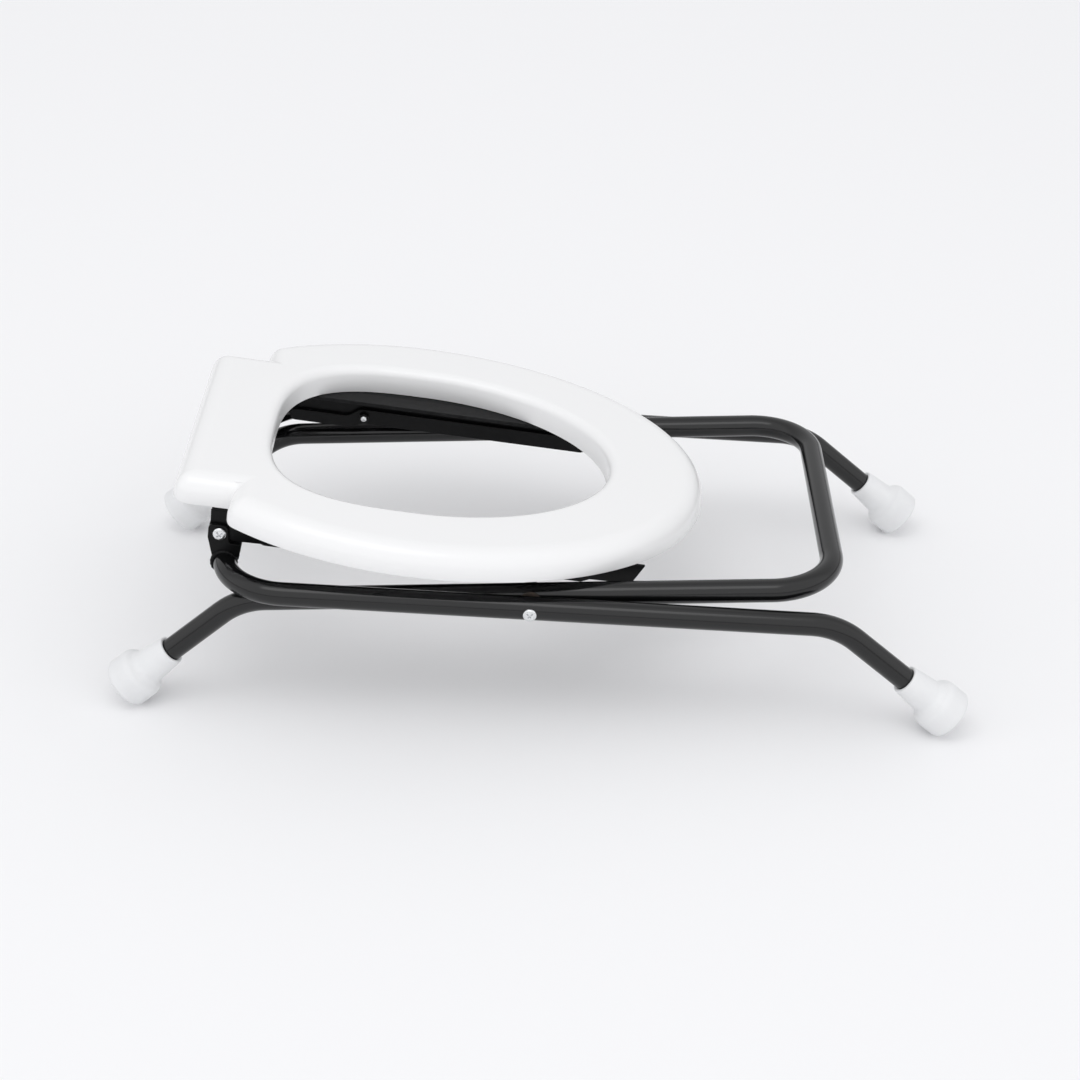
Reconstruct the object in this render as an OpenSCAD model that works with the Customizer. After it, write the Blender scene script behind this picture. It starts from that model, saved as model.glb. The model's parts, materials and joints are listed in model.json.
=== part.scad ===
// Folding raised toilet seat: two crossed tube frames, a seat ring on two hinged rails.
// Drawn folded flat and standing on its four feet.
// X runs along the frames, Y across, Z up. The origin is on the floor, under the middle.

/* [Frames] */
// Outside diameter of the frame tube
tube_d = 19.05; // [16:0.05:25]
// Wall of the frame tube
tube_wall = 1.5; // [1:0.1:2.5]
// Width of the outer frame between its tube centre lines
outer_w = 330.5; // [300:0.5:420]
// Gap between the side tubes of the two frames
frame_gap = 2; // [1.5:0.1:5]
// Pivot to the crossbar of the outer frame
outer_bar = 248.8; // [235:0.1:300]
// Pivot to the crossbar of the inner frame
inner_bar = 245.6; // [235:0.1:300]
// Pivot to the leg bend of the outer frame
outer_leg = 245.4; // [235:0.1:300]
// Pivot to the leg bend of the inner frame
inner_leg = 234.1; // [225:0.1:290]
// Turn of the legs at their bend
leg_bend = 38; // [25:1:50]
// Centre line radius of the leg bends
leg_r = 60; // [40:1:80]
// Centre line radius of the crossbar corners
corner_r = 52; // [35:1:70]
// Height of the pivot above the floor when folded
pivot_h = 110; // [95:1:150]
// Clear height between the crossed tubes at the crossbar when folded
fold_clear = 2.2; // [1:0.1:6]

/* [Feet] */
// Diameter of the foot at the floor
foot_d = 43; // [34:0.5:55]
// Height of the wide part of the foot
foot_h = 25; // [15:0.5:35]
// Height of the whole foot
foot_len = 52; // [40:0.5:70]
// Wall of the foot sleeve at its mouth
foot_wall = 2.4; // [1.5:0.1:5]
// Rubber under the tube end
foot_floor = 8; // [4:0.5:14]
// Thickness of the steel washer in the foot
foot_washer = 2; // [1:0.5:4]

/* [Seat] */
// Length of the seat ring in front of its widest place
seat_front = 241.5; // [200:0.5:300]
// Length that the rear curve of the ring would have, uncut
seat_rear = 228; // [190:0.5:280]
// Width of the seat ring
seat_w = 376; // [340:1:450]
// Thickness of the seat
seat_t = 23.9; // [18:0.1:32]
// Radius of the outer shoulder of the seat
shoulder_r = 18; // [8:0.5:22]
// Radius of the inner edge of the seat
rim_r = 8; // [4:0.5:12]
// Length of the opening in front of its widest place
hole_front = 160; // [120:1:200]
// Length of the opening behind its widest place
hole_rear = 124; // [90:1:160]
// Width of the opening
hole_w = 244; // [200:1:270]
// Width of the tail behind the ring
tail_w = 240; // [200:1:300]
// Length of the tail behind the ring
tail_len = 47; // [30:1:70]
// Wall of the seat moulding
seat_wall = 3.4; // [2.5:0.1:5]
// Slope of the seat when folded
seat_tilt = 7.3; // [5:0.1:10]

/* [Seat hinge and rails] */
// Hinge axis above the top of the crossbar
hinge_rise = 17.3; // [14:0.1:28]
// Hinge axis behind the crossbar centre
hinge_out = 3.1; // [0:0.1:8]
// Hinge axis to the underside of the seat
seat_lift = 21.9; // [18:0.1:35]
// Hinge axis to the lower edge of the rails
rail_low = 8.3; // [7:0.1:12]
// Thickness of the rail, lug and lock arm plates
plate_t = 3; // [2:0.5:5]
// Distance between the outer faces of the two rails
rail_span = 236; // [200:1:260]
// Width of the top flange of the rails
rail_flange = 20; // [15:1:30]
// Width of the outer lip of the rail flange
rail_lip = 8; // [1:0.5:12]
// Hinge axis to the front end of the rails
rail_len = 344.4; // [330:0.1:400]
// Turn of the frames from folded to open
open_turn = 91; // [80:1:100]

/* [Lock arms] */
// Hinge axis to the lock arm pivot along the rail
arm_back = 97; // [60:1:150]
// Lock arm pivot above the hinge axis
arm_up = 1; // [-3:0.5:5]
// Height of the lock arm bar
arm_h = 14; // [10:0.5:18]
// Length of the lever tail of the lock arms behind their pivot
tail_lever = 66; // [20:1:72]
// Swing of the lock arms from raised to locked
arm_swing = 4; // [3:0.5:5]
// Length of the hook lip along the arm
lip_len = 11; // [8:0.5:15]

/* [Fasteners] */
// Diameter of the pivot and hinge bolts
bolt_d = 6; // [5:0.5:8]
// Diameter of the pivot and hinge bolt heads
head_d = 11; // [9:0.5:14]
// Height of the pivot and hinge bolt heads
head_h = 3.2; // [2:0.1:5]
// Diameter of the lock arm bolts
arm_bolt_d = 5; // [4:0.5:6]
// Diameter of the seat screws
screw_d = 4; // [3:0.5:5]
// Free edge of the rail flange to the seat screws
screw_edge = 7; // [5:0.5:12]
// Length of the seat screws above the rail flange
screw_len = 13; // [8:0.5:16]
// Radial clearance of the turning fits
run_clear = 0.05; // [0.02:0.01:0.1]
// Side clearance between pieces that move past each other
side_clear = 0.3; // [0.3:0.05:1]

/* [Hidden] */
$fn = 64;
eps = 0.01;

// Frames: the outer frame falls to the right, the inner frame rises to the right
inner_w = outer_w - 2 * (tube_d + frame_gap);
fold_slope = asin((tube_d + fold_clear) / (2 * outer_bar));
leg_slope = leg_bend + fold_slope;
bend_run = leg_r * tan(leg_bend / 2);
function leg_len(leg_x) =
    (pivot_h - leg_x * sin(fold_slope) - foot_d / 2 * cos(leg_slope)) / sin(leg_slope);
function reach(leg_x) =
    leg_x * cos(fold_slope) + leg_len(leg_x) * cos(leg_slope) + foot_d / 2 * sin(leg_slope);
pivot = [(reach(inner_leg) - reach(outer_leg)) / 2, 0, pivot_h];

// Hinge axis of the seat, and the crossbar below it as seen along the folded seat
hinge_up = tube_d / 2 + hinge_rise;
hinge = pivot + [-(outer_bar + hinge_out) * cos(fold_slope) + hinge_up * sin(fold_slope), 0,
    (outer_bar + hinge_out) * sin(fold_slope) + hinge_up * cos(fold_slope)];
lean = seat_tilt - fold_slope;
bar_u = hinge_out * cos(lean) + hinge_up * sin(lean);
bar_w = hinge_out * sin(lean) - hinge_up * cos(lean);

// Where the inner crossbar lies under the rails when the frames are open
bar_drop = rail_low + side_clear + tube_d / 2;
open_half = open_turn / 2 + fold_slope;
span_x = (outer_bar + hinge_out + inner_bar) * cos(open_half) - hinge_up * sin(open_half);
span_z = (outer_bar + hinge_out - inner_bar) * sin(open_half) + hinge_up * cos(open_half);
catch_u = sqrt(span_x * span_x + span_z * span_z - bar_drop * bar_drop);

// Rails: outer face, and the hinge stack between the lug cheeks
rail_y = rail_span / 2;
cheek_gap = 2 * side_clear;
lug_out = rail_y + cheek_gap + plate_t;
lug_in = rail_y - 2 * plate_t - cheek_gap;
flange_low = seat_lift - plate_t;
chamfer_w = 2;
chamfer_run = 28;
end_cut = 9.3;
lip_back = 12;
lip_front = rail_len - end_cut - 10;

// Lock arms: the notch clears the crossbar when the arm is down
washer_t = 0.8;
arm_y = rail_y - plate_t - washer_t - side_clear;
arm_drop = (catch_u - arm_back) * sin(arm_swing);
notch_top = -bar_drop + tube_d / 2 + arm_drop + 3 * side_clear;
notch_back = catch_u - tube_d / 2 - 2;
notch_front = catch_u + tube_d / 2 + 1.6;
arm_top = flange_low - 2 * side_clear;
arm_neck = notch_back - 16;
lip_low = -4.5;
lever_h = 11;
lever_up = lever_h / 2 - 11;

// Seat: places along the seat are measured from the hinge axis
wide_u = 151.8;
step_u = 6;
seat_half = seat_w / 2;
corner_seat = 14;
skin_low = seat_t - seat_wall;
screw_y = rail_y - rail_flange + screw_edge;
screw_us = [10, 42, 262, 322];
boss_d = 14;
rib_t = 2.4;
round_steps = 6;
egg_points = 80;

// Fasteners
bush_t = 1.5;
nut_d = 11.2;
nut_h = 5;
arm_head_d = 9;
arm_head_h = 2.6;
arm_nut_d = 9.2;
arm_nut_h = 4;
screw_head_d = 8;
screw_head_h = 2.4;
spacer_d = 17;
recess_w = 1.2;
recess_l = 6;
recess_h = 1.6;

module in_inner() translate(pivot) rotate([0, -fold_slope, 0]) children();
module in_outer() translate(pivot) mirror([1, 0, 0]) rotate([0, -fold_slope, 0]) children();
module on_seat() translate(hinge) rotate([0, seat_tilt, 0]) children();
// The near side is at -Y. The far side is its mirror image.
module side(s) mirror([0, s > 0 ? 1 : 0, 0]) children();
module both() for (s = [-1, 1]) side(s) children();
// A cylinder along Y, from the distance y_out to the distance y_in on the near side
module across(y_out, y_in, d) translate([0, -y_in, 0]) rotate([90, 0, 0]) cylinder(h = y_out - y_in, d = d);
// A plate drawn in X and Z, from y_out to y_in on the near side
module plate(y_out, y_in) translate([0, -y_in, 0]) rotate([90, 0, 0]) linear_extrude(y_out - y_in) children();
module hexagon(y_out, y_in, d) translate([0, -y_in, 0]) rotate([90, 0, 0]) cylinder(h = y_out - y_in, d = d, $fn = 6);

// One U-shaped frame, drawn flat: crossbar at +X, legs bent down at -X
module bent_tube(bar, leg_x, width, bore) {
    half = width / 2;
    straight = bar - corner_r + leg_x - bend_run;
    leg = leg_len(leg_x) - foot_floor - foot_washer - bend_run;
    translate([bar, half - corner_r, 0]) rotate([90, 0, 0])
        linear_extrude(width - 2 * corner_r) tube_section(bore);
    for (s = [-1, 1]) {
        translate([bar - corner_r, s * (half - corner_r), 0])
            rotate([0, 0, s > 0 ? 0 : -90])
                rotate_extrude(angle = 90) translate([corner_r, 0]) tube_section(bore);
        translate([-leg_x + bend_run, s * half, 0]) {
            rotate([0, 90, 0]) linear_extrude(straight) tube_section(bore);
            translate([0, 0, -leg_r]) rotate([90, 0, 0]) rotate([0, 0, 90])
                rotate_extrude(angle = leg_bend) translate([leg_r, 0]) tube_section(bore);
            translate([-leg_r * sin(leg_bend), 0, leg_r * (cos(leg_bend) - 1)])
                rotate([0, -90 - leg_bend, 0]) {
                    linear_extrude(leg) tube_section(bore);
                    // A key inside the wall that makes the bend and the leg one piece
                    translate([0, 0, -tube_wall]) linear_extrude(2 * tube_wall) difference() {
                        circle(d = tube_d - tube_wall / 2);
                        circle(d = tube_d - tube_wall * 3 / 2);
                    }
                }
        }
    }
}

module tube_section(bore) difference() {
    circle(d = tube_d);
    if (bore > 0) circle(d = bore);
}

module frame_tube(bar, leg_x, width, hole) difference() {
    bent_tube(bar, leg_x, width, tube_d - 2 * tube_wall);
    both() across(width / 2 + tube_d, width / 2 - tube_d, hole);
}

module outer_frame_tube() color("#161617") in_outer()
    frame_tube(outer_bar, outer_leg, outer_w, bolt_d + 2 * run_clear);

module inner_frame_tube() color("#161617") in_inner()
    frame_tube(inner_bar, inner_leg, inner_w, bolt_d + 2 * bush_t);

// Puts a piece on the end of a leg, with Z running up the leg from the floor face
module on_leg(leg_x, width)
    translate([-leg_x - leg_len(leg_x) * cos(leg_bend), -width / 2, -leg_len(leg_x) * sin(leg_bend)])
        rotate([0, 90 - leg_bend, 0]) children();

module foot() {
    r = foot_d / 2;
    neck = tube_d / 2 + foot_wall + 1.6;
    mouth = tube_d / 2 + foot_wall;
    bore = tube_d / 2 + run_clear;
    round_r = 5;
    difference() {
        rotate_extrude() {
            polygon([[0, 0], [r - 1.5, 0], [r, 1.5], [r, foot_h - round_r],
                for (a = [15 : 15 : 90]) [r - round_r + round_r * cos(a), foot_h - round_r + round_r * sin(a)],
                [neck, foot_h + 2], [mouth + 0.6, foot_len - 3], [mouth + 0.6, foot_len - 1],
                [mouth, foot_len], [0, foot_len]]);
        }
        translate([0, 0, foot_floor]) cylinder(h = foot_len, r = bore);
    }
}

module foot_washer_disc() translate([0, 0, foot_floor]) difference() {
    cylinder(h = foot_washer, d = tube_d);
    translate([0, 0, -eps]) cylinder(h = foot_washer + 2 * eps, d = tube_d / 3);
}

module outer_near_foot() color("#dcdde0") in_outer() on_leg(outer_leg, outer_w) foot();
module outer_far_foot() color("#dcdde0") in_outer() side(1) on_leg(outer_leg, outer_w) foot();
module inner_near_foot() color("#dcdde0") in_inner() on_leg(inner_leg, inner_w) foot();
module inner_far_foot() color("#dcdde0") in_inner() side(1) on_leg(inner_leg, inner_w) foot();
module outer_foot_washers() color("silver")
    in_outer() both() on_leg(outer_leg, outer_w) foot_washer_disc();
module inner_foot_washers() color("silver")
    in_inner() both() on_leg(inner_leg, inner_w) foot_washer_disc();

// Pan head bolt along Y with a cross recess, its head outside
module bolt(y_face, y_end, d, big_d, big_h) difference() {
    union() {
        across(y_face, y_end, d);
        translate([0, -y_face, 0]) rotate([90, 0, 0]) {
            cylinder(h = big_h - 1, d = big_d);
            translate([0, 0, big_h - 1]) cylinder(h = 1, d1 = big_d, d2 = big_d - 2.4);
        }
    }
    for (turn = [45, -45]) translate([0, -y_face - big_h, 0]) rotate([0, turn, 0])
        cube([recess_l, 2 * recess_h, recess_w], center = true);
}

module ring_along_y(y_out, y_in, d_out, d_in) difference() {
    across(y_out, y_in, d_out);
    across(y_out + eps, y_in - eps, d_in);
}

module nut(y_out, y_in, d_out, d_in) difference() {
    hexagon(y_out, y_in, d_out);
    across(y_out + eps, y_in - eps, d_in + 2 * run_clear);
}

outer_face = outer_w / 2 + tube_d / 2;
inner_face = inner_w / 2 - tube_d / 2;
module at_pivot() translate(pivot) both() children();
module pivot_bolts() color("silver")
    at_pivot() bolt(outer_face, inner_face - side_clear - 1 - nut_h - 1, bolt_d, head_d, head_h);
module pivot_spacers() color("white") at_pivot()
    ring_along_y(outer_w / 2 - tube_d / 2, inner_w / 2 + tube_d / 2 + side_clear,
        spacer_d, bolt_d + 2 * run_clear);
module pivot_bushes() color("white") at_pivot()
    ring_along_y(inner_w / 2 + tube_d / 2, inner_face, bolt_d + 2 * bush_t, bolt_d + 2 * run_clear);
module pivot_washers() color("silver") at_pivot()
    ring_along_y(inner_face - side_clear, inner_face - side_clear - 1, head_d + 2, bolt_d + 2 * run_clear);
module pivot_nuts() color("silver") at_pivot()
    nut(inner_face - side_clear - 1, inner_face - side_clear - 1 - nut_h, nut_d, bolt_d);

// Two cheeks and a stop plate, welded on the crossbar
module hinge_lug() {
    toe = bar_u + tube_d / 2 + 3;
    heel = bar_u - tube_d / 2 - 1;
    stop_w = -rail_low - side_clear;
    foot_w = bar_w + tube_d / 2 - 4;
    difference() {
        union() {
            for (y = [lug_out, lug_in + plate_t]) plate(y, y - plate_t)
                polygon([[-9.5, 7], [6, 7], [8, stop_w], [toe, stop_w], [toe - 1, foot_w],
                    [heel, foot_w], [-9.5, -5]]);
            plate(lug_out, lug_in) polygon([[heel, stop_w - plate_t], [toe, stop_w - plate_t],
                [toe, stop_w], [heel, stop_w]]);
        }
        across(lug_out + 1, lug_in - 1, bolt_d + 2 * run_clear);
    }
}

module lug_cut() difference() {
    on_seat() hinge_lug();
    in_outer() bent_tube(outer_bar, outer_leg, outer_w, 0);
}
module near_hinge_lug() color("#161617") lug_cut();
module far_hinge_lug() color("#161617") side(1) lug_cut();

module hinge_bolts() color("silver") both() on_seat()
    bolt(lug_out, lug_in - nut_h - 1, bolt_d, head_d, head_h);
module hinge_nuts() color("silver") both() on_seat() nut(lug_in, lug_in - nut_h, nut_d, bolt_d);
module hinge_bushes() color("white") both() on_seat()
    ring_along_y(rail_y + side_clear, rail_y - plate_t - side_clear,
        bolt_d + 2 * bush_t, bolt_d + 2 * run_clear);

module seat_rail() difference() {
    union() {
        plate(rail_y, rail_y - plate_t) {
            circle(r = rail_low);
            polygon([[-rail_low, 0], [-rail_low, seat_lift], [rail_len, seat_lift],
                [rail_len - end_cut, chamfer_w], [rail_len - end_cut - chamfer_run, -rail_low],
                [0, -rail_low]]);
        }
        translate([-rail_low, -rail_y, flange_low])
            cube([rail_len + rail_low - end_cut, rail_flange, plate_t]);
        translate([lip_back, -rail_y - rail_lip, flange_low])
            cube([lip_front - lip_back, rail_lip + plate_t, plate_t]);
    }
    across(rail_y + 1, rail_y - plate_t - 1, bolt_d + 2 * bush_t);
    translate([arm_back, 0, arm_up]) across(rail_y + 1, rail_y - plate_t - 1, arm_bolt_d + 2 * run_clear);
    for (u = screw_us) translate([u, -screw_y, flange_low - 1])
        cylinder(h = plate_t + 2, d = screw_d + 2 * run_clear);
}
module near_seat_rail() color("#1b1b1d") on_seat() seat_rail();
module far_seat_rail() color("#1b1b1d") side(1) on_seat() seat_rail();

// Flat bar with a lever tail, and a hook that drops in front of the inner crossbar
module lock_arm() difference() {
    plate(arm_y, arm_y - plate_t)
        polygon([[arm_back, arm_up - arm_h / 2], [arm_back - 12, lever_up - lever_h / 2],
            for (a = [270 : -10 : 90]) [arm_back - tail_lever + lever_h / 2 * (1 + cos(a)),
                lever_up + lever_h / 2 * sin(a)],
            [arm_back - 14, lever_up + lever_h / 2], [arm_back - 4, arm_up + arm_h / 2],
            [arm_neck - 14, arm_up + arm_h / 2], [arm_neck, arm_top],
            [notch_front + lip_len + 2, arm_top], [notch_front + lip_len, arm_up],
            [notch_front + lip_len - 3, lip_low], [notch_front, lip_low],
            [notch_front, notch_top - 4], [notch_front - 4, notch_top],
            [notch_back + 3, notch_top], [notch_back, arm_up - arm_h / 2 + 4],
            [notch_back - 8, arm_up - arm_h / 2]]);
    translate([arm_back, 0, arm_up]) across(arm_y + 1, arm_y - plate_t - 1, arm_bolt_d + 2 * run_clear);
}
module near_lock_arm() color("#1b1b1d") on_seat() lock_arm();
module far_lock_arm() color("#1b1b1d") side(1) on_seat() lock_arm();

arm_in = arm_y - plate_t - side_clear;
module at_arm() both() on_seat() translate([arm_back, 0, arm_up]) children();
module lock_arm_bolts() color("silver") at_arm()
    bolt(rail_y, arm_in - arm_nut_h - 1, arm_bolt_d, arm_head_d, arm_head_h);
module lock_arm_washers() color("#3a3a3c") at_arm()
    ring_along_y(rail_y - plate_t, rail_y - plate_t - washer_t, arm_h - 1, arm_bolt_d + 2 * run_clear);
module lock_arm_nuts() color("silver") at_arm() nut(arm_in, arm_in - arm_nut_h, arm_nut_d, arm_bolt_d);

// Egg outline from two half ellipses that meet at the widest place
function egg(front, rear, half, power_rear, grow) = [for (i = [0 : egg_points - 1])
    let(a = i * 360 / egg_points, p = cos(a) < 0 ? power_rear : 2)
    [wide_u + (cos(a) < 0 ? -(rear + grow) : front + grow) * pow(abs(cos(a)), 2 / p),
        sign(sin(a)) * (half + grow) * pow(abs(sin(a)), 2 / p)]];
module opening(grow = 0) polygon(egg(hole_front, hole_rear, hole_w / 2, 3, grow));
module rounded(r) offset(r = r) offset(delta = -r) children();
module ring_outline() rounded(corner_seat) intersection() {
    polygon(egg(seat_front, seat_rear, seat_half, 2, 0));
    translate([step_u, -seat_w]) square([2 * seat_w, 2 * seat_w]);
}
module tail_outline() rounded(corner_seat) translate([step_u - tail_len, -tail_w / 2])
    square([tail_len + 3 * corner_seat, tail_w]);

// Thick slab with a rounded top edge
module shouldered() hull() {
    linear_extrude(1) offset(delta = -1) children();
    translate([0, 0, 1]) linear_extrude(seat_t - shoulder_r - 1) children();
    for (k = [1 : round_steps]) {
        a = k * 90 / round_steps;
        translate([0, 0, seat_t - shoulder_r + shoulder_r * sin(a) - eps])
            linear_extrude(eps) offset(delta = -shoulder_r * (1 - cos(a))) children();
    }
}

// Opening with a rounded upper rim
module opening_cut() {
    translate([0, 0, -1]) linear_extrude(seat_t + 2) opening();
    for (k = [0 : 3]) hull() for (j = [k, k + 1]) {
        a = j * 90 / 4;
        translate([0, 0, seat_t - rim_r * (1 - sin(a)) + (j == 4 ? eps : 0)])
            linear_extrude(eps) opening(rim_r * (1 - cos(a)));
    }
}

// Hollow of the moulding, open below, with ribs and screw bosses left standing
module hollow(inset, low, high) translate([0, 0, low]) linear_extrude(high - low) difference() {
    offset(delta = -inset) union() {
        ring_outline();
        tail_outline();
    }
    opening(seat_wall);
    for (a = [20 : 40 : 340]) translate([wide_u, 0]) rotate(a)
        translate([0, -rib_t / 2]) square([2 * seat_w, rib_t]);
    for (u = screw_us, s = [-1, 1]) translate([u, s * screw_y]) circle(d = boss_d, $fn = 32);
}

module seat_ring() color("white") on_seat() translate([0, 0, seat_lift]) difference() {
    union() {
        shouldered() ring_outline();
        shouldered() tail_outline();
    }
    opening_cut();
    hollow(seat_wall, -1, seat_t / 2);
    hollow(seat_wall + shoulder_r / 4, seat_t / 2 - eps, seat_t * 0.7);
    hollow(seat_wall + shoulder_r / 2, seat_t * 0.7 - eps, skin_low);
    for (u = screw_us, s = [-1, 1]) translate([u, s * screw_y, -eps])
        cylinder(h = screw_len + 1, d = screw_d + 2 * run_clear);
}

module seat_screws() color("silver") on_seat() for (u = screw_us, s = [-1, 1])
    translate([u, s * screw_y, flange_low]) {
        cylinder(h = plate_t + screw_len, d = screw_d);
        translate([0, 0, -screw_head_h]) cylinder(h = screw_head_h, d1 = screw_head_d - 2, d2 = screw_head_d);
    }

outer_frame_tube();
inner_frame_tube();
outer_near_foot();
outer_far_foot();
inner_near_foot();
inner_far_foot();
outer_foot_washers();
inner_foot_washers();
pivot_bolts();
pivot_spacers();
pivot_bushes();
pivot_washers();
pivot_nuts();
near_hinge_lug();
far_hinge_lug();
hinge_bolts();
hinge_bushes();
hinge_nuts();
near_seat_rail();
far_seat_rail();
seat_ring();
seat_screws();
near_lock_arm();
far_lock_arm();
lock_arm_bolts();
lock_arm_washers();
lock_arm_nuts();
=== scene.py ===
import bpy, bmesh, math, json
import numpy as np
from mathutils import Matrix, Vector

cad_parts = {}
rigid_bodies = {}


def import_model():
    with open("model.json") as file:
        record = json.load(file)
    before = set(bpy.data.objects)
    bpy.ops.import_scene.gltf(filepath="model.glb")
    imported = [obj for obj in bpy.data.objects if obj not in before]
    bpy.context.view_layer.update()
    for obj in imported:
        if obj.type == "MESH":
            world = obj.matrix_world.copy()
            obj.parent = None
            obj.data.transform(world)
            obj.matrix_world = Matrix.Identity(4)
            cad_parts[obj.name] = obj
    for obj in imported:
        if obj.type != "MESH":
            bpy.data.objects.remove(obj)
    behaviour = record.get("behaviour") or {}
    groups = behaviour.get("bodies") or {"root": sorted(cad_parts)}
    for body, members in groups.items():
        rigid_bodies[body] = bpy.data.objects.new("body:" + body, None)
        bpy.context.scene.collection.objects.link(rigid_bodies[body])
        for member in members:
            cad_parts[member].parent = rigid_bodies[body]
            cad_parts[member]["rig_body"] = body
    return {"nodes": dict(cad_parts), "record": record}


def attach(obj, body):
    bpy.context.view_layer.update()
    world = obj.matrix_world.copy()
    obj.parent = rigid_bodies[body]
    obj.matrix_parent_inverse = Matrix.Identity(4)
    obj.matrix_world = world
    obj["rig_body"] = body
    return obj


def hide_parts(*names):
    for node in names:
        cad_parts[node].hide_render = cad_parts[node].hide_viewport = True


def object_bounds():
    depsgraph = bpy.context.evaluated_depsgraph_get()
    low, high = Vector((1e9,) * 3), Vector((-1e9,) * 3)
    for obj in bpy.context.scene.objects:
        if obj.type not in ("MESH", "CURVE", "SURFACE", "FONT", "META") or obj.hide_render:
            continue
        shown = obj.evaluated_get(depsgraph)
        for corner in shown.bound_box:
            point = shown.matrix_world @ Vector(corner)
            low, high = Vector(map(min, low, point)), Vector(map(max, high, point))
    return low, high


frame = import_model()
cadBox = [list(corner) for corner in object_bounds()]
cadNodes = frame["nodes"]
joints = {joint["name"]: joint for joint in frame["record"]["behaviour"]["joints"]}
mm = 0.001
sides = (("near", -1), ("far", 1))

# Places shared by the pieces, in millimetres, as the CAD has them
layout = dict(
    tube=19.05, wall=1.5, foldSlope=2.4476, seatTilt=7.3,
    railOuter=118.0, plate=3.0, lugOuter=121.6, lugInner=111.4,
    outer=dict(width=330.5, bar=248.8, leg=245.4, legLength=128.183),
    inner=dict(width=288.4, bar=245.6, leg=234.1, legLength=128.926),
    legBend=38.0, legRadius=60.0, cornerRadius=52.0,
    soleGap=10.0,  # from the sole of a foot up to the end of its tube
)

pivotPoint = Vector(joints["frame_scissor"]["pos_m"]) / mm
hingePoint = Vector(joints["seat_hinge"]["pos_m"]) / mm
pivotPoint.y = 0
hingePoint.y = 0
slopeTurn = Matrix.Rotation(math.radians(-layout["foldSlope"]), 4, "Y")
innerFrame = Matrix.Translation(pivotPoint) @ slopeTurn
outerFrame = Matrix.Translation(pivotPoint) @ Matrix.Scale(-1, 4, (1, 0, 0)) @ slopeTurn
seatFrame = Matrix.Translation(hingePoint) @ Matrix.Rotation(math.radians(layout["seatTilt"]), 4, "Y")
mirrorY = Matrix.Scale(-1, 4, (0, 1, 0))


def across(base, x, z, side):
    # local Z runs outward from the middle plane, on the near side (-1) or the far side (1)
    return base @ Matrix(((1, 0, 0, x), (0, 0, side, 0), (0, 1, 0, z), (0, 0, 0, 1)))


def turnSteps(count):
    # the angles of a full circle in even steps
    return [2 * math.pi * k / count for k in range(count)]


class Shape:
    # gathers the shells of one piece in millimetres
    def __init__(self):
        self.points, self.faces = [], []

    def add(self, points, faces, matrix=None):
        start = len(self.points)
        for point in points:
            place = Vector(point)
            self.points.append((matrix @ place) if matrix else place)
        self.faces += [tuple(start + index for index in face) for face in faces]
        return self

    def rings(self, rings, matrix=None, loop=False, closeEnds=False):
        count = len(rings[0])
        points = [point for ring in rings for point in ring]
        faces = []
        last = len(rings) if loop else len(rings) - 1
        for i in range(last):
            a, b = i * count, ((i + 1) % len(rings)) * count
            for k in range(count):
                n = (k + 1) % count
                faces.append((a + k, a + n, b + n, b + k))
        if closeEnds:
            faces.append(tuple(range(count)))
            faces.append(tuple((len(rings) - 1) * count + k for k in range(count)))
        return self.add(points, faces, matrix)

    def turned(self, profile, matrix, segments=48, loop=True, closeEnds=False):
        # profile is (radius, height) about local Z
        rings = [[(radius * math.cos(turn), radius * math.sin(turn), height) for turn in turnSteps(segments)]
                 for radius, height in profile]
        return self.rings(rings, matrix, loop, closeEnds)

    def plate(self, outline, low, high, matrix):
        # outline in local X and Z, thickness along local Y
        count = len(outline)
        points = [(x, low, z) for x, z in outline] + [(x, high, z) for x, z in outline]
        faces = [tuple(range(count)), tuple(range(2 * count - 1, count - 1, -1))]
        faces += [(k, (k + 1) % count, count + (k + 1) % count, count + k) for k in range(count)]
        return self.add(points, faces, matrix)

    def build(self, name, sharpAngle=32):
        mesh = bpy.data.meshes.new(name)
        mesh.from_pydata([point * mm for point in self.points], [], self.faces)
        work = bmesh.new()
        work.from_mesh(mesh)
        bmesh.ops.remove_doubles(work, verts=work.verts, dist=1e-7)
        bmesh.ops.recalc_face_normals(work, faces=work.faces)
        work.to_mesh(mesh)
        work.free()
        piece = bpy.data.objects.new(name, mesh)
        bpy.context.scene.collection.objects.link(piece)
        smooth(piece, sharpAngle)
        return piece


def smooth(piece, sharpAngle=32):
    piece.data.polygons.foreach_set("use_smooth", [True] * len(piece.data.polygons))
    piece.data.set_sharp_from_angle(angle=math.radians(sharpAngle))


def softEdges(piece, width, segments=2, sharpest=38):
    bevel = piece.modifiers.new("softEdges", "BEVEL")
    bevel.width, bevel.segments = width * mm, segments
    bevel.limit_method, bevel.angle_limit = "ANGLE", math.radians(sharpest)
    bevel.harden_normals = True
    return piece


def carve(piece, cutter):
    # cuts for good, so that the cutter can go
    cut = piece.modifiers.new("carve", "BOOLEAN")
    cut.object, cut.operation, cut.solver = cutter, "DIFFERENCE", "EXACT"
    graph = bpy.context.evaluated_depsgraph_get()
    mesh = bpy.data.meshes.new_from_object(piece.evaluated_get(graph))
    piece.modifiers.clear()
    piece.data = mesh
    bpy.data.objects.remove(cutter)
    smooth(piece)
    return piece


def settle(piece, finish, node):
    # the piece takes the body, the place and the finish of the CAD node it stands for
    piece.data.materials.clear()
    piece.data.materials.append(finishes[finish])
    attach(piece, cadNodes[node]["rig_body"])
    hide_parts(node)
    return piece


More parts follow.
